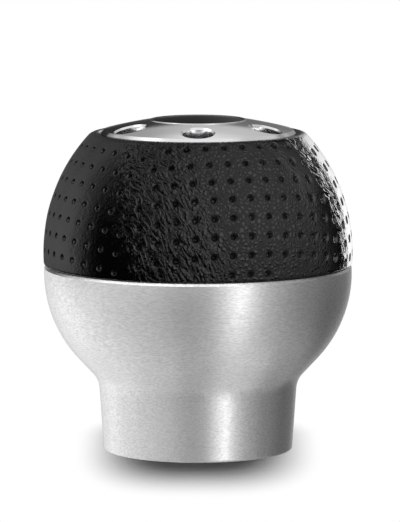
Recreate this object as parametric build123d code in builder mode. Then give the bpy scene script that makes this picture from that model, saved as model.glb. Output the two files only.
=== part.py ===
from build123d import *
from math import cos, isclose, radians, sin, sqrt, tan
import os

# Gear shift knob: a turned aluminium bell under a leather-covered grip with a domed metal cap.
# The frame has its origin at the centre of the base, +Z up the axis, and the front at -Y.
# All lengths are millimetres and all angles are degrees.

# Lever fitting: a split sleeve clamped in a threaded bush
lever_bore_radius = 6.0
sleeve_wall = 1.0
sleeve_flange_width = 1.3
sleeve_flange_height = 1.0
sleeve_slit = 1.5
sleeve_clearance = 0.03
adapter_wall = 4.9
adapter_recess = 1.0
adapter_chamfer = 0.8
thread_clearance = 0.05
grub_count = 3
grub_radius = 2.5
grub_rise = 6.5
grub_sink = 0.9
grub_socket_radius = 1.44
grub_socket_depth = 2.0
screw_clearance = 0.04

# Lower body, turned from bar
neck_wall = 3.3
neck_taper = 3.9
neck_height = 11.4
neck_fillet = 4.2
flare_angle = 43.0
flare_length = 5.0
base_edge = 0.35
mouth_chamfer = 0.6
shoulder_height = 30.0
shoulder_bevel = 0.4
shoulder_inset = 0.26
seam_step = 0.15
register_depth = 3.6
register_radius = 18.0
register_clearance = 0.1
web_thickness = 5.2
bore_relief = 0.6

# Grip: a leather skin drawn over a moulded core
grip_radius = 25.0
grip_rise = 2.15
skin_height = 21.4
skin_rim = 1.55
skin_thickness = 1.2
skin_gap = 0.05
skin_top_round = 1.3
skin_bottom_round = 0.5
core_foot = 2.0
core_wall = 3.4
core_boss_radius = 6.5
core_rib_count = 6
core_rib_thickness = 2.0
dowel_count = 2
dowel_radius = 1.1
dowel_length = 2.4
dowel_clearance = 0.1

# Top cap and centre disc
cap_radius = 15.75
cap_side = 3.4
cap_sink = 0.05
cap_bevel = 0.5
cap_clearance = 0.1
dome_rise = 2.1
cap_hole_count = 6
cap_hole_radius = 2.45
cap_hole_land = 0.1
cap_hole_floor = 1.3
cap_hole_chamfer = 0.3
disc_radius = 7.2
disc_clearance = 0.06
disc_thickness = 2.0
disc_crown = 0.46
disc_edge_round = 0.2
collar_width = 0.5
collar_rise = 0.12
collar_bevel = 0.08

# Centre screw
screw_radius = 2.5
screw_head_radius = 5.0
screw_head_sink = 0.1
screw_tip_gap = 0.7
screw_socket_radius = 1.73
screw_socket_depth = 1.9
screw_hole_clearance = 0.2

# Radii from the lever outwards
sleeve_radius = lever_bore_radius + sleeve_wall
sleeve_flange_radius = sleeve_radius + sleeve_flange_width
adapter_bore_radius = sleeve_radius + sleeve_clearance
adapter_radius = adapter_bore_radius + adapter_wall
bore_radius = adapter_radius + thread_clearance
base_radius = bore_radius + neck_wall
body_radius = grip_radius - seam_step

# Heights inside the body, from the shoulder down
register_floor = shoulder_height - register_depth
bore_top = register_floor - web_thickness
adapter_top = bore_top - bore_relief
sleeve_top = adapter_top - bore_relief
grub_height = adapter_recess + grub_rise

# Neck corner and the end of the flare, before rounding
neck_radius = base_radius + neck_height * tan(radians(neck_taper))
flare_direction = (sin(radians(flare_angle)), cos(radians(flare_angle)))
flare_end = (
    neck_radius + flare_length * flare_direction[0],
    neck_height + flare_length * flare_direction[1],
)

# Heights and radii of the grip, from the shoulder up
skin_bottom = shoulder_height + skin_gap
skin_top = skin_bottom + skin_height
skin_inner_bottom = skin_bottom + skin_thickness
skin_inner_top = skin_top - skin_thickness
grip_height = skin_bottom + grip_rise
skin_top_radius = cap_radius + skin_rim
core_mouth_radius = cap_radius + cap_clearance
skin_mouth_radius = core_mouth_radius + skin_gap
foot_radius = register_radius + core_foot
spigot_radius = register_radius - register_clearance
spigot_bottom = register_floor + register_clearance
dowel_circle = spigot_radius - core_wall / 2

# The skin's side is an arc, upright at grip_height, that ends at the skin's top edge
side_rise = skin_top - grip_height
side_inset = grip_radius - skin_top_radius
side_radius = (side_inset**2 + side_rise**2) / (2 * side_inset)
side_centre = grip_radius - side_radius

# Cap, disc and screw heights
cap_rim_height = skin_top - cap_sink
cap_seat = cap_rim_height - cap_side
cap_top_radius = cap_radius - cap_bevel
dome_edge_height = cap_rim_height + cap_bevel
total_height = dome_edge_height + dome_rise
cap_hole_circle = cap_top_radius - cap_hole_land - cap_hole_chamfer - cap_hole_radius
disc_floor = total_height - disc_thickness
disc_edge_height = total_height - disc_crown
recess_radius = disc_radius + disc_clearance
collar_radius = recess_radius + collar_width
dome_radius = (cap_top_radius**2 + dome_rise**2) / (2 * dome_rise)
screw_top = disc_floor - screw_head_sink
screw_tip = bore_top + screw_tip_gap


def side_at(height, inset=0.0):
    """Radius of the skin's round side at a height, at a depth below its outer face."""
    return side_centre + sqrt((side_radius - inset) ** 2 - (height - grip_height) ** 2)


def dome_at(radius):
    """Height of the cap's dome at a distance from the axis."""
    return total_height - dome_radius + sqrt(dome_radius**2 - radius**2)


def corner(section, point):
    """The vertex of a section nearest to a point."""
    return section.vertices().sort_by_distance(point)[0]


os.makedirs("parts", exist_ok=True)

# Lower body: one turning, with the bush's bore, a tapped web and the core's register
with BuildPart() as lower_body:
    with BuildSketch(Plane.XZ) as body_section:
        with BuildLine():
            Polyline(
                (bore_radius + mouth_chamfer, 0),
                (base_radius, 0),
                (neck_radius, neck_height),
                flare_end,
            )
            TangentArc(
                flare_end,
                (body_radius, shoulder_height - shoulder_bevel),
                tangent=flare_direction,
            )
            Polyline(
                (body_radius, shoulder_height - shoulder_bevel),
                (body_radius - shoulder_inset, shoulder_height),
                (register_radius, shoulder_height),
                (register_radius, register_floor),
                (screw_radius + screw_clearance, register_floor),
                (screw_radius + screw_clearance, bore_top),
                (bore_radius, bore_top),
                (bore_radius, mouth_chamfer),
                (bore_radius + mouth_chamfer, 0),
            )
        make_face()
        fillet(corner(body_section, (neck_radius, neck_height)), neck_fillet)
        fillet(corner(body_section, (base_radius, 0)), base_edge)
    revolve(axis=Axis.Z)
    with BuildSketch(Plane.XY.offset(register_floor)):
        with PolarLocations(dowel_circle, dowel_count):
            Circle(dowel_radius + dowel_clearance)
    extrude(amount=-dowel_length - dowel_clearance, mode=Mode.SUBTRACT)
lower_body.part.label = "lower_body"
export_step(lower_body.part, "parts/lower_body.step")

# Grip core: moulded, hollow from below, with a screw boss, ribs and two dowels
with BuildPart() as grip_core:
    core_inset = skin_thickness + skin_gap
    core_bottom = skin_inner_bottom + skin_gap
    core_top = skin_inner_top - skin_gap
    core_middle = (core_bottom + core_top) / 2
    with BuildSketch(Plane.XZ):
        with BuildLine():
            Polyline(
                (side_at(core_bottom, core_inset), core_bottom),
                (foot_radius, core_bottom),
                (foot_radius, shoulder_height),
                (spigot_radius, shoulder_height),
                (spigot_radius, spigot_bottom),
                (spigot_radius - core_wall, spigot_bottom),
                (spigot_radius - core_wall, cap_seat - core_wall),
                (core_boss_radius, cap_seat - core_wall),
                (core_boss_radius, spigot_bottom),
                (screw_radius + screw_hole_clearance, spigot_bottom),
                (screw_radius + screw_hole_clearance, cap_seat),
                (core_mouth_radius, cap_seat),
                (core_mouth_radius, core_top),
                (side_at(core_top, core_inset), core_top),
            )
            ThreePointArc(
                (side_at(core_top, core_inset), core_top),
                (side_at(core_middle, core_inset), core_middle),
                (side_at(core_bottom, core_inset), core_bottom),
            )
        make_face()
    revolve(axis=Axis.Z)
    rib_length = spigot_radius - core_wall - core_boss_radius
    rib_height = cap_seat - core_wall - shoulder_height
    with BuildSketch(Plane.XY.offset(shoulder_height)):
        with PolarLocations(core_boss_radius + rib_length / 2, core_rib_count):
            Rectangle(rib_length + core_wall, core_rib_thickness)
    extrude(amount=rib_height)
    with BuildSketch(Plane.XY.offset(spigot_bottom)):
        with PolarLocations(dowel_circle, dowel_count):
            Circle(dowel_radius)
    extrude(amount=-dowel_length)
grip_core.part.label = "grip_core"
export_step(grip_core.part, "parts/grip_core.step")

# Leather cover: one drawn skin, tucked under the core and over its rim
with BuildPart() as leather_cover:
    with BuildSketch(Plane.XZ) as skin_section:
        with BuildLine():
            ThreePointArc(
                (side_at(skin_bottom), skin_bottom),
                (grip_radius, grip_height),
                (skin_top_radius, skin_top),
            )
            Polyline(
                (skin_top_radius, skin_top),
                (skin_mouth_radius, skin_top),
                (skin_mouth_radius, skin_inner_top),
                (side_at(skin_inner_top, skin_thickness), skin_inner_top),
            )
            ThreePointArc(
                (side_at(skin_inner_top, skin_thickness), skin_inner_top),
                (grip_radius - skin_thickness, grip_height),
                (side_at(skin_inner_bottom, skin_thickness), skin_inner_bottom),
            )
            Polyline(
                (side_at(skin_inner_bottom, skin_thickness), skin_inner_bottom),
                (foot_radius + skin_gap, skin_inner_bottom),
                (foot_radius + skin_gap, skin_bottom),
                (side_at(skin_bottom), skin_bottom),
            )
        make_face()
        fillet(corner(skin_section, (skin_top_radius, skin_top)), skin_top_round)
        fillet(corner(skin_section, (side_at(skin_bottom), skin_bottom)), skin_bottom_round)
    revolve(axis=Axis.Z)
leather_cover.part.label = "leather_cover"
export_step(leather_cover.part, "parts/leather_cover.step")

# Top cap: a turned dome with a bevelled rim, a collar round the disc's recess and blind holes
with BuildPart() as top_cap:
    collar_top = dome_at(collar_radius) + collar_rise
    dome_middle = (collar_radius + cap_top_radius) / 2
    with BuildSketch(Plane.XZ):
        with BuildLine():
            Polyline(
                (collar_radius, dome_at(collar_radius)),
                (collar_radius, collar_top - collar_bevel),
                (collar_radius - collar_bevel, collar_top),
                (recess_radius, collar_top),
                (recess_radius, disc_floor),
                (0, disc_floor),
                (0, cap_seat),
                (cap_radius, cap_seat),
                (cap_radius, cap_rim_height),
                (cap_top_radius, dome_edge_height),
            )
            ThreePointArc(
                (cap_top_radius, dome_edge_height),
                (dome_middle, dome_at(dome_middle)),
                (collar_radius, dome_at(collar_radius)),
            )
        make_face()
    revolve(axis=Axis.Z)
    with BuildSketch(Plane.XY.offset(cap_seat + cap_hole_floor)):
        with PolarLocations(cap_hole_circle, cap_hole_count, start_angle=-90):
            Circle(cap_hole_radius)
    extrude(amount=total_height, mode=Mode.SUBTRACT)
    with Locations((0, 0, disc_floor)):
        CounterSinkHole(
            radius=screw_radius + screw_hole_clearance,
            counter_sink_radius=screw_head_radius + screw_hole_clearance,
            counter_sink_angle=90,
        )
    walls = top_cap.faces().filter_by(GeomType.CYLINDER)
    hole_walls = [wall for wall in walls if isclose(wall.radius, cap_hole_radius)]
    hole_mouths = [wall.edges().sort_by(Axis.Z)[-1] for wall in hole_walls]
    chamfer(hole_mouths, cap_hole_chamfer)
top_cap.part.label = "top_cap"
export_step(top_cap.part, "parts/top_cap.step")

# Centre disc: a crowned black disc let into the cap
with BuildPart() as centre_disc:
    with BuildSketch(Plane.XZ) as disc_section:
        with BuildLine():
            Polyline(
                (0, total_height),
                (0, disc_floor),
                (disc_radius, disc_floor),
                (disc_radius, disc_edge_height),
            )
            TangentArc((0, total_height), (disc_radius, disc_edge_height), tangent=(1, 0))
        make_face()
        fillet(corner(disc_section, (disc_radius, disc_edge_height)), disc_edge_round)
    revolve(axis=Axis.Z)
centre_disc.part.label = "centre_disc"
export_step(centre_disc.part, "parts/centre_disc.step")

# Centre screw: countersunk, with a hexagon socket, from the cap into the body's web
with BuildPart() as centre_screw:
    screw_neck = screw_top - (screw_head_radius - screw_radius)
    with BuildSketch(Plane.XZ):
        with BuildLine():
            Polyline(
                (0, screw_top),
                (0, screw_tip),
                (screw_radius, screw_tip),
                (screw_radius, screw_neck),
                (screw_head_radius, screw_top),
                close=True,
            )
        make_face()
    revolve(axis=Axis.Z)
    with BuildSketch(Plane.XY.offset(screw_top)):
        RegularPolygon(screw_socket_radius, 6)
    extrude(amount=-screw_socket_depth, mode=Mode.SUBTRACT)
centre_screw.part.label = "centre_screw"
export_step(centre_screw.part, "parts/centre_screw.step")

# Adapter: a threaded bush with a seat for the sleeve's flange and three tapped holes
with BuildPart() as adapter:
    flange_seat = adapter_recess + sleeve_flange_height + sleeve_clearance
    flange_seat_radius = sleeve_flange_radius + sleeve_clearance
    with BuildSketch(Plane.XZ):
        with BuildLine():
            Polyline(
                (flange_seat_radius, adapter_recess),
                (adapter_radius - adapter_chamfer, adapter_recess),
                (adapter_radius, adapter_recess + adapter_chamfer),
                (adapter_radius, adapter_top - adapter_chamfer),
                (adapter_radius - adapter_chamfer, adapter_top),
                (adapter_bore_radius, adapter_top),
                (adapter_bore_radius, flange_seat),
                (flange_seat_radius, flange_seat),
                close=True,
            )
        make_face()
    revolve(axis=Axis.Z)
    with Locations((0, 0, grub_height)):
        with PolarLocations(0, grub_count, start_angle=-90):
            Cylinder(
                grub_radius + screw_clearance,
                adapter_radius,
                rotation=(0, 90, 0),
                align=(Align.CENTER, Align.CENTER, Align.MIN),
                mode=Mode.SUBTRACT,
            )
adapter.part.label = "adapter"
export_step(adapter.part, "parts/adapter.step")

# Reducing sleeve: a flanged sleeve, slit along its back so that it closes on the lever
with BuildPart() as reducing_sleeve:
    with BuildSketch(Plane.XZ):
        with BuildLine():
            Polyline(
                (lever_bore_radius, adapter_recess),
                (sleeve_flange_radius, adapter_recess),
                (sleeve_flange_radius, adapter_recess + sleeve_flange_height),
                (sleeve_radius, adapter_recess + sleeve_flange_height),
                (sleeve_radius, sleeve_top),
                (lever_bore_radius, sleeve_top),
                close=True,
            )
        make_face()
    revolve(axis=Axis.Z)
    with BuildSketch(Plane.XY.offset(adapter_recess)):
        with Locations((0, sleeve_radius)):
            Rectangle(sleeve_slit, 2 * sleeve_flange_width + 2 * sleeve_wall)
    extrude(amount=sleeve_top, mode=Mode.SUBTRACT)
reducing_sleeve.part.label = "reducing_sleeve"
export_step(reducing_sleeve.part, "parts/reducing_sleeve.step")

# Grub screws: three alike, each against the sleeve, with a hexagon socket in its outer end
with BuildPart() as grub_screws:
    grub_turns = [360 / grub_count * place - 90 for place in range(grub_count)]
    grub_axes = [Plane.YZ.rotated((0, 0, turn)) for turn in grub_turns]
    with BuildSketch(*[plane.offset(adapter_bore_radius) for plane in grub_axes]):
        with Locations((0, grub_height)):
            Circle(grub_radius)
    extrude(amount=adapter_wall - grub_sink)
    with BuildSketch(*[plane.offset(adapter_radius - grub_sink) for plane in grub_axes]):
        with Locations((0, grub_height)):
            RegularPolygon(grub_socket_radius, 6)
    extrude(amount=-grub_socket_depth, mode=Mode.SUBTRACT)
grub_screws.part.label = "grub_screws"
export_step(grub_screws.part, "parts/grub_screws.step")
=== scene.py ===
"""Looks of a gear shift knob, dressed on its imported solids.

A turned bell of brushed aluminium carries a grip of punched leather, a polished domed cap and a
gloss disc. Lengths are metres and angles are degrees. Azimuths count from the front, which is -Y,
and grow towards +X.
"""

import logging
from dataclasses import dataclass
from enum import Enum
from math import cos, pi, radians, sin

import bpy
import numpy as np
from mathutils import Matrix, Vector


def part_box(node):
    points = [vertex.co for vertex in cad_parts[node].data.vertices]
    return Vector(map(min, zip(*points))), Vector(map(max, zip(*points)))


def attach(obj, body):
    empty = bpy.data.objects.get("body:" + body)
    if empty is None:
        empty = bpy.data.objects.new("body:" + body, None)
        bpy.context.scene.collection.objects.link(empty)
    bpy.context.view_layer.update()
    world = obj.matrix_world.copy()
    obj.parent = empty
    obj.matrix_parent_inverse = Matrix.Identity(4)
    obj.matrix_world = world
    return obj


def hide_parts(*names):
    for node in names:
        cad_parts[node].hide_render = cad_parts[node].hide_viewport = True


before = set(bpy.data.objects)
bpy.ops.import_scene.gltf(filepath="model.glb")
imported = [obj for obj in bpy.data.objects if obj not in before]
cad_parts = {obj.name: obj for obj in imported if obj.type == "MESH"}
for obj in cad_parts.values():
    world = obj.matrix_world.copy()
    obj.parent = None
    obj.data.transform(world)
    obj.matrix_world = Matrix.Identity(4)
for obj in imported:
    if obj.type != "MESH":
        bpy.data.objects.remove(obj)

MM = 0.001
METAL_PIECES = ("lower_body", "top_cap", "centre_disc", "adapter", "reducing_sleeve", "grub_screws")
# Places of the Mix node's two colour inputs, and of its colour output.
MIX_COLORS = (6, 7)
MIX_RESULT = 2
LOG = logging.getLogger("knob")


class Body(Enum):
    """The rigid bodies that pieces ride on."""

    ROOT = "root"


class Slot(Enum):
    """Material slots of the record that new pieces take their finish from."""

    LEATHER = "black_leather"


def smoothstep(low: float, high: float, value: np.ndarray) -> np.ndarray:
    """Smooth rise from 0 at low to 1 at high.

    Args:
        low: Where the rise starts.
        high: Where the rise ends.
        value: The values to test.

    Returns:
        The risen values, between 0 and 1.
    """
    share = np.clip((value - low) / (high - low), 0.0, 1.0)
    return share * share * (3.0 - 2.0 * share)


def lattice_noise(points: np.ndarray, seed: int) -> np.ndarray:
    """Value noise: random numbers on a cubic lattice of unit cells, blended smoothly between corners.

    Args:
        points: Array of shape (n, 3), in cells.
        seed: Which random lattice to use.

    Returns:
        Array of n values between -1 and 1.
    """
    side = 64
    table = np.random.default_rng(seed).uniform(-1.0, 1.0, (side, side, side))
    cell = np.floor(points).astype(int)
    share = points - cell
    share = share * share * (3.0 - 2.0 * share)
    total = np.zeros(len(points))
    for corner in np.ndindex(2, 2, 2):
        index = (cell + corner) % side
        weight = np.where(corner, share, 1.0 - share).prod(axis=1)
        total += weight * table[index[:, 0], index[:, 1], index[:, 2]]
    return total


def grid_corners(bands: int, rows: int, columns: int) -> np.ndarray:
    """Corners of the quads of a grid of points that closes round its columns.

    Args:
        bands: How many bands of quads there are, as many as rows where the last row joins the first.
        rows: How many rows of points there are.
        columns: How many points a row has.

    Returns:
        Array of shape (n, 4) of point numbers.
    """
    grid = np.meshgrid(np.arange(bands), np.arange(columns), indexing="ij")
    row, column = (part.ravel() for part in grid)
    above = (row + 1) % rows
    beside = (column + 1) % columns
    places = ((row, column), (row, beside), (above, beside), (above, column))
    return np.stack([line * columns + place for line, place in places], axis=1)


class Graph:
    """A node tree that is filled by adding nodes and feeding their sockets."""

    def __init__(self, tree: bpy.types.NodeTree) -> None:
        """Starts with an empty tree.

        Args:
            tree: The tree of a material or a world.
        """
        self.tree = tree
        tree.nodes.clear()

    def add(self, kind: str, inputs: dict | None = None, **settings: object) -> bpy.types.Node:
        """Adds a node.

        Args:
            kind: The node's type, without the ShaderNode prefix.
            inputs: Socket name or number to a constant or to another node's output.
            **settings: The node's own properties.

        Returns:
            The new node.
        """
        node = self.tree.nodes.new("ShaderNode" + kind)
        for name, value in settings.items():
            setattr(node, name, value)
        for name, value in (inputs or {}).items():
            self.feed(node.inputs[name], value)
        return node

    def feed(self, socket: bpy.types.NodeSocket, value: object) -> None:
        """Sets a socket to a constant, or links another node's output to it.

        Args:
            socket: The input socket.
            value: A number, a tuple or an output socket.
        """
        if isinstance(value, bpy.types.NodeSocket):
            self.tree.links.new(value, socket)
        else:
            socket.default_value = value

    def math(self, operation: str, *values: object) -> bpy.types.NodeSocket:
        """A Math node on constants or sockets.

        Args:
            operation: The operation's name.
            *values: Its operands.

        Returns:
            The result's socket.
        """
        node = self.add("Math", dict(enumerate(values)), operation=operation)
        return node.outputs[0]

    def vector(self, operation: str, *values: object) -> bpy.types.Node:
        """A Vector Math node on constants or sockets.

        Args:
            operation: The operation's name.
            *values: Its operands.

        Returns:
            The node, whose result may be a vector or a value.
        """
        return self.add("VectorMath", dict(enumerate(values)), operation=operation)

    def ramp(
        self, value: bpy.types.NodeSocket, source: tuple[float, float], target: tuple[float, float]
    ) -> bpy.types.NodeSocket:
        """Maps a value from one range to another, smoothly and clamped.

        Args:
            value: The socket to map.
            source: The range that is read.
            target: The range that is given.

        Returns:
            The mapped value's socket.
        """
        node = self.add(
            "MapRange",
            {
                "Value": value,
                "From Min": source[0],
                "From Max": source[1],
                "To Min": target[0],
                "To Max": target[1],
            },
            interpolation_type="SMOOTHSTEP",
        )
        return node.outputs["Result"]

    def blend(self, share: object, low: object, high: object) -> bpy.types.NodeSocket:
        """A colour between two others.

        Args:
            share: How much of the second colour.
            low: The colour at a share of 0, as three channels or a socket.
            high: The colour at a share of 1, as three channels or a socket.

        Returns:
            The mixed colour's socket.
        """
        node = self.add("Mix", data_type="RGBA")
        self.feed(node.inputs["Factor"], share)
        for place, color in zip(MIX_COLORS, (low, high)):
            self.feed(node.inputs[place], (*color, 1.0) if isinstance(color, tuple) else color)
        return node.outputs[MIX_RESULT]

    def bump(
        self, height: bpy.types.NodeSocket, depth: float, below: bpy.types.NodeSocket | None = None
    ) -> bpy.types.NodeSocket:
        """Bump from a height between 0 and 1.

        Args:
            height: The height's socket.
            depth: How deep a height of 1 is, in metres.
            below: The normal that this bump is added to.

        Returns:
            The bumped normal's socket.
        """
        node = self.add("Bump", {"Height": height, "Distance": depth, "Strength": 1.0})
        if below is not None:
            self.feed(node.inputs["Normal"], below)
        return node.outputs["Normal"]


@dataclass(frozen=True)
class Finish:
    """What every finish has: a name, a colour and the shader's constants."""

    name: str
    color: tuple[float, float, float]
    roughness: float
    metallic: float = 0.0

    def material(self) -> bpy.types.Material:
        """The finish as a node material.

        Returns:
            A new material.
        """
        material = bpy.data.materials.new(self.name)
        material.use_nodes = True
        graph = Graph(material.node_tree)
        shader = graph.add("BsdfPrincipled")
        shader.inputs["Base Color"].default_value = (*self.color, 1.0)
        shader.inputs["Roughness"].default_value = self.roughness
        shader.inputs["Metallic"].default_value = self.metallic
        self.detail(graph, shader)
        graph.add("OutputMaterial", {"Surface": shader.outputs[0]})
        material.diffuse_color = (*self.color, 1.0)
        return material

    def detail(self, graph: Graph, shader: bpy.types.Node) -> None:
        """Adds what the finish shows beyond its constants.

        Args:
            graph: The material's graph.
            shader: Its shader node.
        """


@dataclass(frozen=True)
class TurnedMetal(Finish):
    """Metal brushed or turned round the knob's axis, with fine rings that run out along their length."""

    metallic: float = 1.0
    anisotropy: float = 0.7
    brush_turn: float = 0.25
    ring_pitch: float = 0.25 * MM
    ring_runs: float = 4.0
    ring_detail: float = 3.0
    ring_grit: float = 0.65
    ring_span: tuple[float, float] = (0.3, 0.7)
    ring_depth: float = 0.004 * MM
    ring_shade: float = 0.1
    ring_rough: float = 0.08

    def detail(self, graph: Graph, shader: bpy.types.Node) -> None:
        """Rings are noise drawn out round the axis: fine in height and radius, slow in angle.

        Args:
            graph: The material's graph.
            shader: Its shader node.
        """
        place = graph.add("TexCoord").outputs["Object"]
        flat = graph.vector("MULTIPLY", place, (1.0, 1.0, 0.0)).outputs["Vector"]
        radius = graph.vector("LENGTH", flat).outputs["Value"]
        outward = graph.vector("NORMALIZE", flat).outputs["Vector"]
        height = graph.add("SeparateXYZ", {"Vector": place}).outputs["Z"]
        rise = graph.add("CombineXYZ", {"Z": graph.math("MULTIPLY", height, 1.0 / self.ring_pitch)})
        around = graph.vector("SCALE", outward)
        around.inputs["Scale"].default_value = self.ring_runs
        drawn = graph.vector("ADD", around.outputs["Vector"], rise.outputs["Vector"])
        rings = graph.add(
            "TexNoise",
            {
                "Vector": drawn.outputs["Vector"],
                "W": graph.math("MULTIPLY", radius, 1.0 / self.ring_pitch),
                "Scale": 1.0,
                "Detail": self.ring_detail,
                "Roughness": self.ring_grit,
            },
            noise_dimensions="4D",
        ).outputs[0]
        dark = tuple(channel * (1.0 - self.ring_shade) for channel in self.color)
        share = graph.ramp(rings, self.ring_span, (0.0, 1.0))
        graph.feed(shader.inputs["Base Color"], graph.blend(share, dark, self.color))
        rough = graph.ramp(rings, self.ring_span, (self.roughness + self.ring_rough, self.roughness))
        graph.feed(shader.inputs["Roughness"], rough)
        graph.feed(shader.inputs["Normal"], graph.bump(rings, self.ring_depth))
        shader.inputs["Anisotropic"].default_value = self.anisotropy
        shader.inputs["Anisotropic Rotation"].default_value = self.brush_turn
        tangent = graph.add("Tangent", direction_type="RADIAL", axis="Z")
        graph.feed(shader.inputs["Tangent"], tangent.outputs["Tangent"])


@dataclass(frozen=True)
class PunchedLeather(Finish):
    """Black grained leather: pebbles, creases where the sheet was drawn askew, and punched holes.

    The holes and the gaps between pebbles are darkened with painted shade.
    """

    # Painted shade: the colour that darkens the holes and the gaps between pebbles.
    painted_shade_color: tuple[float, float, float] = (0.0005, 0.0005, 0.0005)
    edge_color: tuple[float, float, float] = (0.02, 0.02, 0.02)
    pebble: float = 0.7 * MM
    pebble_depth: float = 0.08 * MM
    pebble_round: float = 0.5
    swell: float = 0.75 * MM
    swell_depth: float = 0.20 * MM
    crease_pitch: float = 0.95 * MM
    crease_length: float = 1.15 * MM
    crease_depth: float = 0.15 * MM
    crease_edge: float = 0.30
    crease_spread: float = 0.9
    crease_leans: tuple[float, float] = (1.0, -1.4)
    crossing: float = 0.6
    crossing_rise: tuple[float, float] = (1.0 * MM, 6.0 * MM)
    specular: float = 0.45
    gap_roughness: float = 0.72
    gap_span: tuple[float, float] = (0.30, 0.95)
    drawn_matte: float = 0.72

    def creased(
        self, graph: Graph, normal: bpy.types.NodeSocket, drawn: bpy.types.NodeSocket
    ) -> bpy.types.NodeSocket:
        """Creases: the gaps between cells drawn out along two leanings of the sheet, crossing low down.

        Args:
            graph: The material's graph.
            normal: The normal that the creases are added to.
            drawn: How askew the sheet was drawn.

        Returns:
            The creased normal's socket.
        """
        sheet = graph.add("Attribute", attribute_name="sheet").outputs["Vector"]
        part = graph.add("SeparateXYZ", {"Vector": sheet}).outputs
        low = graph.ramp(part["Y"], self.crossing_rise, (self.crossing, 0.0))
        for lean, share in zip(self.crease_leans, (drawn, graph.math("MULTIPLY", drawn, low))):
            leaning = graph.math("MULTIPLY_ADD", part["Y"], lean, part["X"])
            across = graph.math("MULTIPLY", leaning, 1.0 / self.crease_pitch)
            along = graph.math("MULTIPLY", part["Y"], 1.0 / self.crease_length)
            spot = graph.add("CombineXYZ", {"X": across, "Y": along, "Z": part["Z"]})
            cells = graph.add(
                "TexVoronoi",
                {"Vector": spot.outputs["Vector"], "Scale": 1.0, "Randomness": self.crease_spread},
                feature="DISTANCE_TO_EDGE",
            )
            crease = graph.ramp(cells.outputs["Distance"], (0.0, self.crease_edge), (0.0, 1.0))
            normal = graph.bump(graph.math("MULTIPLY", crease, share), self.crease_depth, normal)
        return normal

    def detail(self, graph: Graph, shader: bpy.types.Node) -> None:
        """Pebbles are rounded cells on slow swellings and under the creases.

        Their gaps are matte and darkened with painted shade, as are the holes.

        Args:
            graph: The material's graph.
            shader: Its shader node.
        """
        place = graph.add("TexCoord").outputs["Object"]
        names = ("grain", "drawn", "edge", "hole")
        marks = [graph.add("Attribute", attribute_name=name) for name in names]
        grain, drawn, edge, hole = (mark.outputs["Fac"] for mark in marks)
        wander = graph.add("TexNoise", {"Vector": place, "Scale": 0.5 / self.pebble, "Detail": 1.0})
        strayed = graph.vector("MULTIPLY_ADD", wander.outputs["Color"], (self.pebble,) * 3, place)
        cells = graph.add(
            "TexVoronoi",
            {"Vector": strayed.outputs["Vector"], "Scale": 1.0 / self.pebble, "Randomness": 1.0},
            feature="DISTANCE_TO_EDGE",
        )
        between = graph.ramp(cells.outputs["Distance"], (0.0, self.pebble_round), (1.0, 0.0))
        gap = graph.math("MULTIPLY", between, grain)
        normal = graph.bump(graph.math("SUBTRACT", 1.0, gap), self.pebble_depth)
        swell = graph.add("TexNoise", {"Vector": place, "Scale": 1.0 / self.swell, "Detail": 1.5})
        swollen = graph.math("MULTIPLY", swell.outputs[0], grain)
        normal = graph.bump(swollen, self.swell_depth, normal)
        graph.feed(shader.inputs["Normal"], self.creased(graph, normal, drawn))
        # Painted shade: the gaps between pebbles take the darker colour.
        tone = graph.blend(gap, self.color, self.painted_shade_color)
        shown = graph.blend(edge, tone, self.edge_color)
        # Painted shade: the insides of the holes take the darker colour.
        color = graph.blend(hole, shown, self.painted_shade_color)
        graph.feed(shader.inputs["Base Color"], color)
        matte = graph.math("MULTIPLY", gap, graph.ramp(drawn, (0.0, 1.0), (1.0, self.drawn_matte)))
        rough = graph.ramp(matte, self.gap_span, (self.roughness, self.gap_roughness))
        graph.feed(shader.inputs["Roughness"], rough)
        shader.inputs["Specular IOR Level"].default_value = self.specular


@dataclass(frozen=True)
class GlossPlastic(Finish):
    """Gloss black plastic with the faint unevenness of a moulded face."""

    specular: float = 0.18
    wave: float = 2.5 * MM
    wave_depth: float = 0.004 * MM
    wave_span: tuple[float, float] = (0.3, 0.7)
    wave_rough: float = 0.05

    def detail(self, graph: Graph, shader: bpy.types.Node) -> None:
        """A slow noise moves the surface and its roughness a little.

        Args:
            graph: The material's graph.
            shader: Its shader node.
        """
        place = graph.add("TexCoord").outputs["Object"]
        noise = graph.add("TexNoise", {"Vector": place, "Scale": 1.0 / self.wave, "Detail": 2.0}).outputs[0]
        graph.feed(shader.inputs["Normal"], graph.bump(noise, self.wave_depth))
        rough = graph.ramp(noise, self.wave_span, (self.roughness, self.roughness + self.wave_rough))
        graph.feed(shader.inputs["Roughness"], rough)
        shader.inputs["Specular IOR Level"].default_value = self.specular


@dataclass(frozen=True)
class MouldedPlastic(Finish):
    """Matte plastic with the fine pitting of a spark-eroded mould."""

    pit: float = 0.3 * MM
    pit_depth: float = 0.01 * MM
    pit_light: float = 1.3

    def detail(self, graph: Graph, shader: bpy.types.Node) -> None:
        """Fine noise is both the pits and a slight change of tone.

        Args:
            graph: The material's graph.
            shader: Its shader node.
        """
        place = graph.add("TexCoord").outputs["Object"]
        noise = graph.add("TexNoise", {"Vector": place, "Scale": 1.0 / self.pit, "Detail": 3.0}).outputs[0]
        light = tuple(channel * self.pit_light for channel in self.color)
        graph.feed(shader.inputs["Base Color"], graph.blend(noise, self.color, light))
        graph.feed(shader.inputs["Normal"], graph.bump(noise, self.pit_depth))


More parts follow.
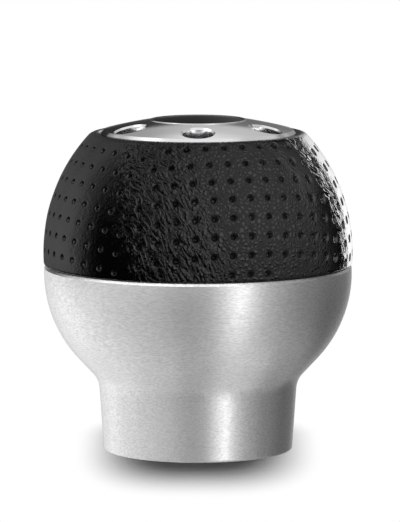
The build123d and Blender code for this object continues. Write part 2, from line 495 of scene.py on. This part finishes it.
BELL_METAL = TurnedMetal(
    "brushed_aluminium",
    (0.85, 0.85, 0.86),
    0.30,
    anisotropy=0.85,
    ring_pitch=0.16 * MM,
    ring_runs=34.0,
    ring_depth=0.008 * MM,
    ring_shade=0.28,
)
CAP_METAL = TurnedMetal(
    "polished_aluminium",
    (0.86, 0.86, 0.87),
    0.10,
    anisotropy=0.3,
    ring_depth=0.0008 * MM,
    ring_shade=0.05,
    ring_rough=0.04,
)
LEATHER = PunchedLeather("black_leather", (0.002, 0.002, 0.002), 0.15)
DISC_GLOSS = GlossPlastic("black_gloss", (0.025, 0.025, 0.026), 0.04)
BUSH_STEEL = TurnedMetal("plated_steel", (0.55, 0.55, 0.53), 0.28, anisotropy=0.4)
SCREW_STEEL = TurnedMetal("screw_steel", (0.12, 0.12, 0.13), 0.35, anisotropy=0.2)
CORE_PLASTIC = MouldedPlastic("core_plastic", (0.03, 0.03, 0.03), 0.55)
SLEEVE_PLASTIC = MouldedPlastic("sleeve_plastic", (0.035, 0.035, 0.037), 0.5)


@dataclass
class DressedPieces:
    """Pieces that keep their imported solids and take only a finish."""

    finishes: tuple[tuple[str, Finish], ...] = ()

    def dress(self) -> None:
        """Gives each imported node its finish."""
        for node, finish in self.finishes:
            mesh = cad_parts[node].data
            mesh.materials.clear()
            mesh.materials.append(finish.material())
            LOG.info("dressed %s with %s", node, finish.name)


@dataclass
class TurnedBell(DressedPieces):
    """The aluminium bell and the lever fitting in its bore."""

    finishes: tuple[tuple[str, Finish], ...] = (
        ("lower_body", BELL_METAL),
        ("adapter", BUSH_STEEL),
        ("reducing_sleeve", SLEEVE_PLASTIC),
        ("grub_screws", SCREW_STEEL),
    )


@dataclass
class DomedCap(DressedPieces):
    """The polished cap, its gloss disc, and the screw and core below them."""

    finishes: tuple[tuple[str, Finish], ...] = (
        ("top_cap", CAP_METAL),
        ("centre_disc", DISC_GLOSS),
        ("centre_screw", SCREW_STEEL),
        ("grip_core", CORE_PLASTIC),
    )


@dataclass
class LeatherGrip:
    """The leather skin: a closed section carried round the axis, punched in four drawn quadrants.

    Spans of a hole are in its radii. Turns and spans of the sheet are degrees, and lean and line_lean
    are degrees per metre.
    """

    node: str = "leather_cover"
    rise: float = 2.15 * MM
    rim: float = 1.55 * MM
    thickness: float = 1.2 * MM
    mouth_gap: float = 0.15 * MM
    foot_radius: float = 20.05 * MM
    top_round: float = 1.3 * MM
    bottom_round: float = 0.5 * MM
    columns: int = 712
    cell: float = 0.205 * MM
    arc_points: int = 8
    arc_step: float = 0.05 * MM
    foot_row: float = 2.0 * MM
    skirt: float = 3.0 * MM
    first_cell: float = 3.5 * MM
    last_cell: float = 0.1 * MM
    inner_rows: int = 8
    hole_radius: float = 0.56 * MM
    hole_depth: float = 0.95 * MM
    hole_lip: float = 0.15 * MM
    lip_start: float = 1.28
    lip_width: float = 0.30
    wall_span: tuple[float, float] = (0.6, 1.0)
    # Painted shade: holes are fully darkened within the first number of radii, fading out by the second.
    painted_shade_span: tuple[float, float] = (0.75, 1.0)
    edge_span: tuple[float, float] = (1.05, 1.25)
    ring_shares: tuple[float, ...] = (0.0, 0.20, 0.42, 0.72, 0.88, 1.0)
    ring_radii: tuple[float, ...] = (0.0, 0.6, 1.0, 1.3, 1.85)
    pitch: float = 3.05 * MM
    overlap: float = 0.5 * MM
    border: float = 1.2 * MM
    top_border: float = 0.65 * MM
    row_slack: float = 0.1 * MM
    row_span: tuple[int, int] = (-2, 12)
    side_columns: int = 8
    first_row: float = -0.9 * MM
    row_sag: float = 2.1 * MM
    sheet_turn: float = 19.5
    lean: float = 0.177 / MM
    left_drop: float = 1.5 * MM
    tight_quadrant: int = 3
    tight_hole: float = 0.72
    pull: float = 1.35 * MM
    wave: float = 3.2 * MM
    wave_depth: float = 0.05 * MM
    wave_seed: int = 5
    stray: float = 0.55 * MM
    stray_pitch: float = 1.5 * MM
    stray_seed: int = 11
    sheet_lean: tuple[float, float] = (0.36, 16.0)
    line_gap: float = 3.7
    line_lean: float = 0.6 / MM
    wide_turn: float = 18.0
    wide_span: tuple[float, float] = (4.0, 30.0)
    narrow_turn: float = 6.5
    narrow_span: tuple[float, float] = (1.5, 5.0)
    narrow_share: float = 0.7
    grain_start: tuple[float, float] = (-8.0, 16.0)
    grain_end: tuple[float, float] = (2.0, 18.0)
    tight_grain: float = 0.20

    def __post_init__(self) -> None:
        """Reads the skin's box, and works out the arc of its side and its section."""
        low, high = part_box(self.node)
        cap_low, cap_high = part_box("top_cap")
        self.bottom: float = low.z
        self.top: float = high.z
        self.radius: float = (high.x - low.x) / 2
        self.cap_radius: float = (cap_high.x - cap_low.x) / 2
        self.widest: float = self.bottom + self.rise
        inset = self.radius - self.cap_radius - self.rim
        reach = self.top - self.widest
        self.side_radius: float = (inset**2 + reach**2) / (2 * inset)
        self.side_centre: float = self.radius - self.side_radius
        self.section()

    def arc(
        self, centre: tuple[float, float], radius: float, start: float, end: float
    ) -> np.ndarray:
        """Points on a circle in the section's plane, in small steps.

        Args:
            centre: The centre's distance from the axis and height.
            radius: The circle's radius.
            start: First angle, in radians.
            end: Last angle, in radians.

        Returns:
            Array of shape (n, 2): distance from the axis, and height.
        """
        count = max(self.arc_points, int(abs(end - start) * radius / self.arc_step))
        angle = np.linspace(start, end, count)
        away = centre[0] + radius * np.cos(angle)
        return np.stack([away, centre[1] + radius * np.sin(angle)], axis=1)

    def round_off(self, size: float, height: float) -> tuple[tuple[float, float], float]:
        """A round that touches the side arc from within.

        Args:
            size: The round's radius.
            height: Its centre's height.

        Returns:
            Its centre's distance from the axis and height, and its bearing from the side arc's centre.
        """
        rise = height - self.widest
        reach = np.sqrt((self.side_radius - size) ** 2 - rise**2)
        return (self.side_centre + reach, height), np.arctan2(rise, reach)

    def section(self) -> None:
        """Keeps the closed section and the lengths along it at which rows of the skin lie.

        It runs from the foot over the rounded lower edge, the side arc, the rounded upper edge and the
        mouth to the inner face, and back to the foot.
        """
        middle = (self.side_centre, self.widest)
        lower, low_angle = self.round_off(self.bottom_round, self.bottom + self.bottom_round)
        upper, high_angle = self.round_off(self.top_round, self.top - self.top_round)
        inner_low = self.round_off(self.thickness, self.bottom + self.thickness)[1]
        inner_high = self.round_off(self.thickness, self.top - self.thickness)[1]
        inner_radius = self.side_radius - self.thickness
        mouth = self.cap_radius + self.mouth_gap
        pieces = [
            np.array([[self.foot_radius, self.bottom]]),
            self.arc(lower, self.bottom_round, -pi / 2, low_angle),
            self.arc(middle, self.side_radius, low_angle, high_angle)[1:],
            self.arc(upper, self.top_round, high_angle, pi / 2)[1:],
            np.array([[mouth, self.top]]),
            np.array([[mouth, self.top - self.thickness]]),
            self.arc(middle, inner_radius, inner_high, inner_low),
            np.array([[self.foot_radius, self.bottom + self.thickness]]),
            np.array([[self.foot_radius, self.bottom]]),
        ]
        self.points: np.ndarray = np.concatenate(pieces)
        steps = np.hypot(*np.diff(self.points, axis=0).T)
        self.length: np.ndarray = np.concatenate([[0.0], np.cumsum(steps)])
        marks = self.length[np.cumsum([len(piece) for piece in pieces]) - 1]
        self.widest_at: float = marks[1] - low_angle * self.side_radius
        self.mouth_at: float = marks[4]
        outer = np.arange(marks[0] + self.first_cell, marks[3] + self.last_cell, self.cell)
        inner = np.linspace(marks[5], marks[6], self.inner_rows + 1)[1:]
        self.rows: np.ndarray = np.concatenate(
            [[0.0, self.foot_row], outer, [marks[4], marks[5]], inner, [marks[7]]]
        )

    def place(self, turn: np.ndarray, along: np.ndarray) -> np.ndarray:
        """Points of the plain skin: the section's distance and height, turned round the axis.

        Args:
            turn: Azimuths.
            along: Lengths along the section from its foot.

        Returns:
            Array of shape (n, 3).
        """
        radius = np.interp(along, self.length, self.points[:, 0])
        height = np.interp(along, self.length, self.points[:, 1])
        return np.stack([radius * np.sin(turn), -radius * np.cos(turn), height], axis=1)

    def holes(self) -> tuple[np.ndarray, np.ndarray, np.ndarray]:
        """Places of the punched holes: straight columns in each quadrant, whose rows sag to its edges.

        Returns:
            Each hole's azimuth in radians, its length along the side from the widest circle, and its
            radius, which is smaller in the quadrant that is drawn tightest.
        """
        columns = np.arange(-self.side_columns, self.side_columns + 1)
        grid = np.meshgrid(np.arange(4), columns, np.arange(*self.row_span), indexing="ij")
        quadrant, column, row = (part.ravel() for part in grid)
        odd = quadrant % 2
        across = (column + 0.5 * odd) * self.pitch
        drop = self.left_drop * np.sin(quadrant * pi / 2)
        sag = self.row_sag * (across / (self.radius * pi / 4)) ** 2
        along = self.first_row + drop + row * self.pitch - sag
        radius = self.side_centre + self.side_radius * np.cos(along / self.side_radius)
        turn = np.radians(self.sheet_turn + self.lean * along) + quadrant * pi / 2 + across / radius
        top = self.side_radius * np.arcsin((self.top - self.widest) / self.side_radius)
        kept = (along >= self.first_row - self.row_slack) & (along <= top - self.top_border)
        kept &= np.abs(across) <= radius * pi / 4 + np.where(odd, -self.border, self.overlap)
        tight = np.where(quadrant == self.tight_quadrant, self.tight_hole, 1.0)
        return turn[kept], along[kept], self.hole_radius * tight[kept]

    def gather(
        self, turn: np.ndarray, along: np.ndarray, spot: np.ndarray
    ) -> tuple[np.ndarray, np.ndarray, np.ndarray, np.ndarray]:
        """Draws the grid in round each hole, so that its rim is finely divided.

        A point's distance from its nearest hole is mapped by straight pieces that shrink the inside and
        keep the edge of the hole's surroundings where it is.

        Args:
            turn: Azimuth of each grid point.
            along: Length along the side of each grid point.
            spot: Place of each grid point, shape (n, 3).

        Returns:
            The moved azimuths and lengths, each point's new distance from its nearest hole in that
            hole's radii, and that hole's radius.
        """
        hole_turn, hole_along, hole_size = self.holes()
        radius = self.side_centre + self.side_radius * np.cos(hole_along / self.side_radius)
        height = self.widest + self.side_radius * np.sin(hole_along / self.side_radius)
        centre = np.stack([radius * np.sin(hole_turn), -radius * np.cos(hole_turn), height], axis=1)
        apart = np.linalg.norm(centre[:, None] - centre[None], axis=2)
        np.fill_diagonal(apart, 1.0)
        square = (spot**2).sum(1)[:, None] + (centre**2).sum(1)[None] - 2.0 * spot @ centre.T
        near = square.argmin(axis=1)
        room = np.minimum(self.pull, apart.min(axis=1) / 2)[near]
        size = hole_size[near]
        far = np.linalg.norm(spot - centre[near], axis=1)
        share = far / room
        ends = [factor * size / room for factor in self.ring_radii] + [np.ones_like(share)]
        drawn = np.zeros_like(share)
        for start, end, low, high in zip(self.ring_shares, self.ring_shares[1:], ends, ends[1:]):
            drawn += np.clip((share - start) / (end - start), 0.0, 1.0) * (high - low)
        scale = np.where(share < 1.0, drawn / np.maximum(share, 1e-9), 1.0)
        offset = np.angle(np.exp(1j * (turn - hole_turn[near])))
        new_turn = turn + offset * (scale - 1.0)
        new_along = along + (along - hole_along[near]) * (scale - 1.0)
        return new_turn, new_along, far * scale / size, size

    def build(self) -> bpy.types.Object:
        """Makes the skin: rows along the section, columns round the axis.

        Each point lies inside the plain skin by a straight lip and a smooth pit, both by its distance
        from the nearest hole, and by a slow wave of noise.

        Returns:
            The new object, which stands for the plain skin.
        """
        around = np.arange(self.columns) * 2 * pi / self.columns
        turn = np.tile(around, (len(self.rows), 1)).ravel()
        along = np.repeat(self.rows, self.columns)
        outside = (along > self.skirt) & (along < self.mouth_at)
        gathered = self.gather(turn, along - self.widest_at, self.place(turn, along))
        turn = np.where(outside, gathered[0], turn)
        along = np.where(outside, gathered[1] + self.widest_at, along)
        away = np.where(outside, gathered[2], self.columns)
        spot = self.place(turn, along)
        step = 0.02 * MM
        ahead = self.place(turn, along + step) - self.place(turn, along - step)
        aside = np.stack([np.cos(turn), np.sin(turn), np.zeros_like(turn)], axis=1)
        normal = np.cross(aside, ahead)
        normal /= np.linalg.norm(normal, axis=1)[:, None]
        sink = self.hole_lip * np.clip((self.lip_start - away) / self.lip_width, 0.0, 1.0)
        sink += (self.hole_depth - self.hole_lip) * (1.0 - smoothstep(*self.wall_span, away))
        sink *= gathered[3] / self.hole_radius
        sink += self.wave_depth * (0.5 + 0.5 * lattice_noise(spot / self.wave, self.wave_seed))
        spot = spot - normal * np.where(outside, sink, 0.0)[:, None]
        mesh = self.mesh(spot)
        # Painted shade: the hole mark darkens the inside of each hole.
        self.mark(mesh, "hole", 1.0 - smoothstep(*self.painted_shade_span, away))
        self.mark(mesh, "edge", 1.0 - smoothstep(*self.edge_span, away))
        self.mark_sheet(mesh, turn, along - self.widest_at)
        grip = bpy.data.objects.new("leather_skin", mesh)
        bpy.context.scene.collection.objects.link(grip)
        mesh.materials.append(LEATHER.material())
        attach(grip, Body.ROOT.value)
        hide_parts(self.node)
        LOG.info("leather skin: %d holes, %d faces", len(self.holes()[0]), len(mesh.polygons))
        return grip

    def mesh(self, spot: np.ndarray) -> bpy.types.Mesh:
        """Joins the grid into quads, closed round the axis and round the section.

        Args:
            spot: Points, row by row.

        Returns:
            The smooth-shaded mesh.
        """
        corners = grid_corners(len(self.rows), len(self.rows), self.columns)
        mesh = bpy.data.meshes.new("leather_skin")
        mesh.vertices.add(len(spot))
        mesh.vertices.foreach_set("co", spot.ravel())
        mesh.loops.add(corners.size)
        mesh.loops.foreach_set("vertex_index", corners.ravel())
        mesh.polygons.add(len(corners))
        mesh.polygons.foreach_set("loop_start", np.arange(len(corners)) * 4)
        mesh.polygons.foreach_set("use_smooth", np.ones(len(corners), dtype=bool))
        mesh.update(calc_edges=True)
        mesh.validate()
        return mesh

    def mark(self, mesh: bpy.types.Mesh, name: str, value: np.ndarray) -> None:
        """Keeps a number at each point of a mesh.

        Args:
            mesh: The mesh.
            name: The attribute's name.
            value: One number for each point.
        """
        attribute = mesh.attributes.new(name, "FLOAT", "POINT")
        attribute.data.foreach_set("value", value.astype(np.float32))

    def mark_sheet(self, mesh: bpy.types.Mesh, turn: np.ndarray, along: np.ndarray) -> None:
        """Keeps, at each point, its place on the flat sheet, how askew it was drawn and how loose it lies.

        The place counts from the nearest line between two quadrants, and strays in slow waves. The sheet
        is most askew beside every other line, and leans the more the higher it lies. Front and back
        quadrants keep their grain, and the side ones are stretched nearly smooth.

        Args:
            mesh: The mesh.
            turn: Azimuth of each point.
            along: Length along the side of each point.
        """
        from_line = turn - radians(self.sheet_turn - 45.0)
        line = np.round(from_line / (pi / 2))
        aside = from_line - line * pi / 2
        odd = line % 2 == 1
        spot = np.stack([np.sin(turn) * self.radius, np.cos(turn) * self.radius, along], axis=1)
        flow = self.stray * lattice_noise(spot / self.stray_pitch, self.stray_seed)
        lean = self.sheet_lean[0] * along + self.sheet_lean[1] * along * np.abs(along)
        sheet = np.stack([aside * self.radius + flow, lean, line % 4 * self.line_gap], axis=1)
        attribute = mesh.attributes.new("sheet", "FLOAT_VECTOR", "POINT")
        attribute.data.foreach_set("vector", sheet.astype(np.float32).ravel())
        shifted = np.degrees(aside) + self.line_lean * along
        wide = 1.0 - smoothstep(*self.wide_span, np.abs(shifted - self.wide_turn))
        narrow = 1.0 - smoothstep(*self.narrow_span, np.abs(shifted - self.narrow_turn))
        self.mark(mesh, "drawn", np.where(odd, self.narrow_share * narrow, wide))
        begun = smoothstep(*self.grain_start, shifted)
        ended = smoothstep(*self.grain_end, -shifted)
        loose = np.where(odd, ended, begun)
        self.mark(mesh, "grain", self.tight_grain + (1.0 - self.tight_grain) * loose)


def light_only(light: bpy.types.Object, pieces: tuple[str, ...]) -> None:
    """Keeps a light to some pieces.

    Args:
        light: A shining object.
        pieces: Names of the pieces that it lights.
    """
    lit = bpy.data.collections.new(light.name + "_lit")
    for piece in pieces:
        lit.objects.link(bpy.data.objects[piece])
    light.light_linking.receiver_collection = lit


@dataclass(frozen=True)
class LightRing:
    """Soft light from all round at one height, whose strength changes with the azimuth.

    It takes over from the ring below between the elevations start and full. A stop is an azimuth and
    the strength there, which is at most the peak.
    """

    start: float
    full: float
    stops: tuple[tuple[float, float], ...]
    peak: float = 2.0

    def strength(self, graph: Graph, around: bpy.types.NodeSocket) -> bpy.types.NodeSocket:
        """The ring's strength at an azimuth, blended between its stops.

        Args:
            graph: The material's graph.
            around: Azimuth as a share of a full turn, 0 at the back and 0.5 at the front.

        Returns:
            The strength's socket.
        """
        ramp = graph.add("ValToRGB", {"Fac": around})
        ramp.color_ramp.interpolation = "EASE"
        places = [(azimuth / 360.0 + 0.5, level / self.peak) for azimuth, level in self.stops]
        elements = ramp.color_ramp.elements
        while len(elements) < len(places):
            elements.new(1.0)
        for element, (place, level) in zip(elements, places):
            element.position = place
            element.color = (level, level, level, 1.0)
        return graph.math("MULTIPLY", ramp.outputs["Color"], self.peak)


def ring_light(
    graph: Graph, way: bpy.types.NodeSocket, rings: tuple[LightRing, ...]
) -> bpy.types.NodeSocket:
    """Light from a direction: each ring takes over from the one below it between its two elevations.

    Args:
        graph: The material's graph.
        way: The direction, as a unit vector.
        rings: The rings, from the lowest up.

    Returns:
        The strength's socket.
    """
    part = graph.add("SeparateXYZ", {"Vector": way}).outputs
    turn = graph.math("ARCTAN2", part["X"], graph.math("MULTIPLY", part["Y"], -1.0))
    around = graph.math("MULTIPLY_ADD", turn, 0.5 / pi, 0.5)
    rise = graph.math("MULTIPLY", graph.math("ARCSINE", part["Z"]), 180.0 / pi)
    light = rings[0].strength(graph, around)
    for ring in rings[1:]:
        share = graph.ramp(rise, (ring.start, ring.full), (0.0, 1.0))
        mix = graph.add("Mix", {"Factor": share, "A": light, "B": ring.strength(graph, around)})
        light = mix.outputs[0]
    return light


PAPER_RINGS = (
    LightRing(-90.0, -90.0, ((-180.0, 0.6), (180.0, 0.6))),
    LightRing(-84.0, -76.0, (
        (-180.0, 0.45), (-150.0, 0.80), (-110.0, 0.85), (-60.0, 0.66), (-10.0, 0.47), (30.0, 0.60),
        (60.0, 0.80), (130.0, 0.85), (150.0, 0.40), (180.0, 0.45),
    )),
    LightRing(-62.0, -50.0, (
        (-180.0, 0.30), (-150.0, 0.95), (-120.0, 1.05), (-92.0, 0.92), (-64.0, 0.73), (-40.0, 0.62),
        (-20.0, 0.48), (-8.0, 0.42), (8.0, 0.48), (22.0, 0.75), (33.0, 1.10), (45.0, 0.72),
        (60.0, 0.52), (86.0, 0.42), (120.0, 0.38), (150.0, 0.36), (172.0, 0.33), (180.0, 0.30),
    )),
    LightRing(-40.0, -28.0, (
        (-180.0, 0.30), (-158.0, 0.95), (-120.0, 1.27), (-92.0, 0.98), (-64.0, 0.68), (-40.0, 0.53),
        (-20.0, 0.37), (-8.0, 0.30), (8.0, 0.38), (22.0, 0.95), (33.0, 1.75), (45.0, 0.75),
        (60.0, 0.42), (86.0, 0.22), (120.0, 0.12), (145.0, 0.16), (160.0, 0.36), (171.0, 0.55),
        (180.0, 0.30),
    )),
    LightRing(-2.0, 5.0, (
        (-180.0, 0.06), (-172.0, 0.02), (-110.0, 0.03), (-92.0, 0.35), (-64.0, 0.78), (-40.0, 0.68),
        (-20.0, 0.53), (-8.0, 0.45), (8.0, 0.50), (22.0, 0.95), (33.0, 1.60), (46.0, 0.80),
        (70.0, 0.40), (100.0, 0.30), (150.0, 0.35), (168.0, 0.30), (176.0, 0.16), (180.0, 0.06),
    )),
    LightRing(20.0, 23.5, (
        (-180.0, 0.55), (-172.0, 0.35), (-160.0, 0.08), (-146.0, 0.30), (-132.0, 0.90), (-100.0, 1.20),
        (-64.0, 1.15), (-40.0, 1.10), (-18.0, 1.00), (0.0, 0.85), (24.0, 0.90), (35.0, 1.00),
        (46.0, 0.80), (57.0, 0.60), (74.0, 0.40), (95.0, 0.06), (130.0, 0.06), (150.0, 0.50),
        (180.0, 0.58),
    )),
    LightRing(30.0, 38.0, (
        (-180.0, 0.85), (-168.0, 0.50), (-156.0, 0.12), (-144.0, 0.25), (-132.0, 0.50), (-118.0, 1.00),
        (-100.0, 1.80), (-64.0, 2.30), (-40.0, 2.60), (-18.0, 2.60), (0.0, 2.10), (24.0, 2.00),
        (35.0, 2.20), (46.0, 1.60), (57.0, 1.00), (74.0, 0.50), (95.0, 0.60), (130.0, 0.65),
        (150.0, 0.65), (180.0, 0.85),
    ), peak=3.0),
    LightRing(58.0, 70.0, ((-180.0, 0.9), (180.0, 0.9))),
)
SILK_RINGS = (
    LightRing(-90.0, -90.0, ((-180.0, 0.0), (180.0, 0.0))),
    LightRing(-32.0, -6.0, (
        (-180.0, 0.08), (-160.0, 0.15), (-140.0, 0.32), (-125.0, 0.60), (-110.0, 0.85), (-98.0, 0.55),
        (-88.0, 0.10), (-78.0, 0.00), (-45.0, 0.00), (-29.0, 0.03), (-18.0, 0.30), (-7.0, 0.80),
        (3.0, 1.20), (14.0, 1.50), (24.0, 1.80), (36.0, 1.90), (50.0, 1.70), (70.0, 1.30),
        (84.0, 0.75), (100.0, 0.45), (118.0, 0.08), (128.0, 0.00), (143.0, 0.00), (147.0, 4.60),
        (156.0, 2.80), (164.0, 1.75), (172.0, 1.00), (176.0, 0.20), (180.0, 0.08),
    ), peak=6.0),
    LightRing(14.0, 24.0, (
        (-180.0, 0.06), (-140.0, 0.30), (-120.0, 0.60), (-95.0, 0.35), (-78.0, 0.05), (-38.0, 0.22),
        (-10.0, 1.15), (40.0, 1.90), (90.0, 1.40), (120.0, 0.40), (138.0, 0.05), (180.0, 0.06),
    )),
    LightRing(56.0, 68.0, (
        (-180.0, 0.5), (-90.0, 1.1), (0.0, 1.2), (70.0, 0.9), (120.0, 0.3), (180.0, 0.5),
    )),
)


@dataclass(frozen=True)
class LightTent:
    """A shining sphere all round the knob that lights only some pieces.

    A soft tent also gives diffuse light and lets other light through. Otherwise it is only mirrored.
    """

    name: str
    radius: float
    rings: tuple[LightRing, ...]
    pieces: tuple[str, ...]
    soft: bool
    rows: int = 48
    columns: int = 96
    top: float = 89.5

    def build(self, centre: Vector) -> bpy.types.Object:
        """Makes the tent: a sphere, as a grid of elevations and azimuths, that shines by its rings.

        Args:
            centre: The sphere's centre.

        Returns:
            The tent, which no camera sees.
        """
        rises = np.radians(np.linspace(-self.top, self.top, self.rows))
        turns = np.arange(self.columns) * 2 * pi / self.columns
        rise, turn = (part.ravel() for part in np.meshgrid(rises, turns, indexing="ij"))
        way = np.stack([np.sin(turn) * np.cos(rise), -np.cos(turn) * np.cos(rise), np.sin(rise)], axis=1)
        corners = grid_corners(self.rows - 1, self.rows, self.columns)
        mesh = bpy.data.meshes.new(self.name)
        mesh.from_pydata((way * self.radius + np.array(centre)).tolist(), [], corners.tolist())
        mesh.materials.append(self.material(centre))
        tent = bpy.data.objects.new(self.name, mesh)
        bpy.context.scene.collection.objects.link(tent)
        tent.visible_camera = False
        tent.visible_shadow = False
        tent.visible_diffuse = self.soft
        light_only(tent, self.pieces)
        LOG.info("%s: %d faces", self.name, len(mesh.polygons))
        return tent

    def material(self, centre: Vector) -> bpy.types.Material:
        """Thin cloth that shines by its direction from the centre.

        Args:
            centre: The tent's centre.

        Returns:
            A new material.
        """
        material = bpy.data.materials.new(self.name)
        material.use_nodes = True
        graph = Graph(material.node_tree)
        place = graph.add("TexCoord").outputs["Object"]
        offset = graph.vector("SUBTRACT", place, tuple(centre)).outputs["Vector"]
        way = graph.vector("NORMALIZE", offset).outputs["Vector"]
        light = ring_light(graph, way, self.rings)
        glow = graph.add("Emission", {"Color": (1.0, 1.0, 1.0, 1.0), "Strength": light})
        clear = graph.add("BsdfTransparent")
        both = graph.add("AddShader", {0: glow.outputs[0], 1: clear.outputs[0]})
        graph.add("OutputMaterial", {"Surface": (both if self.soft else glow).outputs[0]})
        return material


@dataclass
class Studio:
    """Floor, tents, surroundings and camera."""

    image: tuple[int, int] = (400, 522)
    axis_pixel: float = 198.0
    base_pixel: float = 448.4
    pixels_per_metre: float = 6185.0
    camera_distance: float = 0.8
    camera_elevation: float = 7.2
    sensor: float = 36.0
    floor_radius: float = 0.12
    floor_sides: int = 96
    # Painted shadow: the dark colour of the floor patch under and round the knob.
    shadow_paint_color: float = 0.14
    shade_centre: float = 6.9 * MM
    shade_width: float = 9.4 * MM
    shade_length: float = 25.5 * MM
    shade_behind: float = 2.0
    shade_power: float = 3.0
    shade_fade: tuple[float, float] = (0.92, 2.16)
    sky: float = 0.35
    horizon: tuple[float, float] = (-0.03, 0.14)
    tent_height: float = 0.04
    tents: tuple[LightTent, ...] = (
        LightTent("paper_tent", 0.75, PAPER_RINGS, METAL_PIECES, soft=False),
        LightTent("silk_tent", 0.70, SILK_RINGS, ("leather_skin",), soft=True),
    )

    def build(self) -> None:
        """Makes the whole stage."""
        bpy.context.scene.view_settings.view_transform = "Standard"
        self.floor()
        self.surroundings()
        self.camera()
        for tent in self.tents:
            tent.build(Vector((0.0, 0.0, self.tent_height)))

    def floor(self) -> None:
        """Makes the floor: a flat disc round the axis."""
        angle = np.arange(self.floor_sides) * 2 * pi / self.floor_sides
        ring = np.stack([np.cos(angle), np.sin(angle), np.zeros_like(angle)], axis=1) * self.floor_radius
        mesh = bpy.data.meshes.new("floor")
        mesh.from_pydata(ring.tolist(), [], [list(range(self.floor_sides))])
        mesh.materials.append(self.floor_material())
        floor = bpy.data.objects.new("floor", mesh)
        bpy.context.scene.collection.objects.link(floor)
        floor.visible_glossy = False

    def floor_material(self) -> bpy.types.Material:
        """A painted shadow: a dark patch round the knob's foot, on which the sky also casts the knob's real
        shadow.

        It fades into the backdrop and is clear from below. The patch is a rounded oblong, longer to the
        front than to the back.

        Returns:
            A new material.
        """
        material = bpy.data.materials.new("painted_shadow_floor")
        material.use_nodes = True
        graph = Graph(material.node_tree)
        place = graph.add("TexCoord").outputs["Object"]
        scale = (1.0 / self.shade_width, 1.0 / self.shade_length, 0.0)
        offset = (0.0, -self.shade_centre / self.shade_length, 0.0)
        shade = graph.vector("MULTIPLY_ADD", place, scale, offset).outputs["Vector"]
        part = graph.add("SeparateXYZ", {"Vector": shade}).outputs
        ahead = graph.math("MULTIPLY", part["Y"], -1.0)
        behind = graph.math("MULTIPLY", part["Y"], self.shade_behind)
        depth = graph.math("POWER", graph.math("MAXIMUM", ahead, behind), self.shade_power)
        width = graph.math("POWER", graph.math("ABSOLUTE", part["X"]), self.shade_power)
        reach = graph.math("POWER", graph.math("ADD", depth, width), 1.0 / self.shade_power)
        far = graph.ramp(reach, self.shade_fade, (0.0, 1.0))
        # Painted shadow: this dark paint stands in for the knob's shadow, and the sky's real shadow falls
        # on it too.
        shadow_paint = graph.add("BsdfDiffuse", {"Color": (self.shadow_paint_color,) * 3 + (1.0,)})
        clear = graph.add("BsdfTransparent")
        below = graph.add("NewGeometry").outputs["Backfacing"]
        share = graph.math("MAXIMUM", far, below)
        mixed = graph.add("MixShader", {0: share, 1: shadow_paint.outputs[0], 2: clear.outputs[0]})
        graph.add("OutputMaterial", {"Surface": mixed.outputs[0]})
        return material

    def surroundings(self) -> None:
        """A white backdrop for the camera and in mirrors, and plain sky light for all else."""
        world = bpy.data.worlds.new("studio")
        bpy.context.scene.world = world
        world.use_nodes = True
        graph = Graph(world.node_tree)
        way = graph.add("TexCoord").outputs["Generated"]
        part = graph.add("SeparateXYZ", {"Vector": way}).outputs
        light = graph.ramp(part["Z"], self.horizon, (0.0, self.sky))
        path = graph.add("LightPath").outputs
        mirrored = graph.math("MAXIMUM", path["Is Glossy Ray"], path["Is Transmission Ray"])
        white = graph.math("MAXIMUM", path["Is Camera Ray"], mirrored)
        seen = graph.add("Mix", {"Factor": white, "A": light, "B": 1.0})
        backdrop = graph.add("Background", {"Color": (1.0, 1.0, 1.0, 1.0), "Strength": seen.outputs[0]})
        graph.add("OutputWorld", {"Surface": backdrop.outputs[0]})

    def camera(self) -> None:
        """The camera of the photograph: a little above level, with the base's centre at its pixel."""
        camera = bpy.data.cameras.new("camera")
        camera.sensor_fit = "VERTICAL"
        camera.sensor_height = self.sensor
        focal = self.pixels_per_metre * self.camera_distance
        camera.lens = self.sensor * focal / self.image[1]
        eye = bpy.data.objects.new("camera", camera)
        aside = (self.image[0] / 2 - self.axis_pixel) / self.pixels_per_metre
        below = (self.base_pixel - self.image[1] / 2) / self.pixels_per_metre
        up = radians(self.camera_elevation)
        target = Vector((aside, 0.0, below / cos(up)))
        eye.location = target + Vector((0.0, -cos(up), sin(up))) * self.camera_distance
        eye.rotation_euler = (target - eye.location).to_track_quat("-Z", "Y").to_euler()
        bpy.context.scene.collection.objects.link(eye)
        bpy.context.scene.camera = eye


def main() -> None:
    """Builds the pieces in order and sets the stage."""
    logging.basicConfig(level=logging.INFO)
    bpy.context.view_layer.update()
    TurnedBell().dress()
    LeatherGrip().build()
    DomedCap().dress()
    Studio().build()


if __name__ == "__main__":
    main()
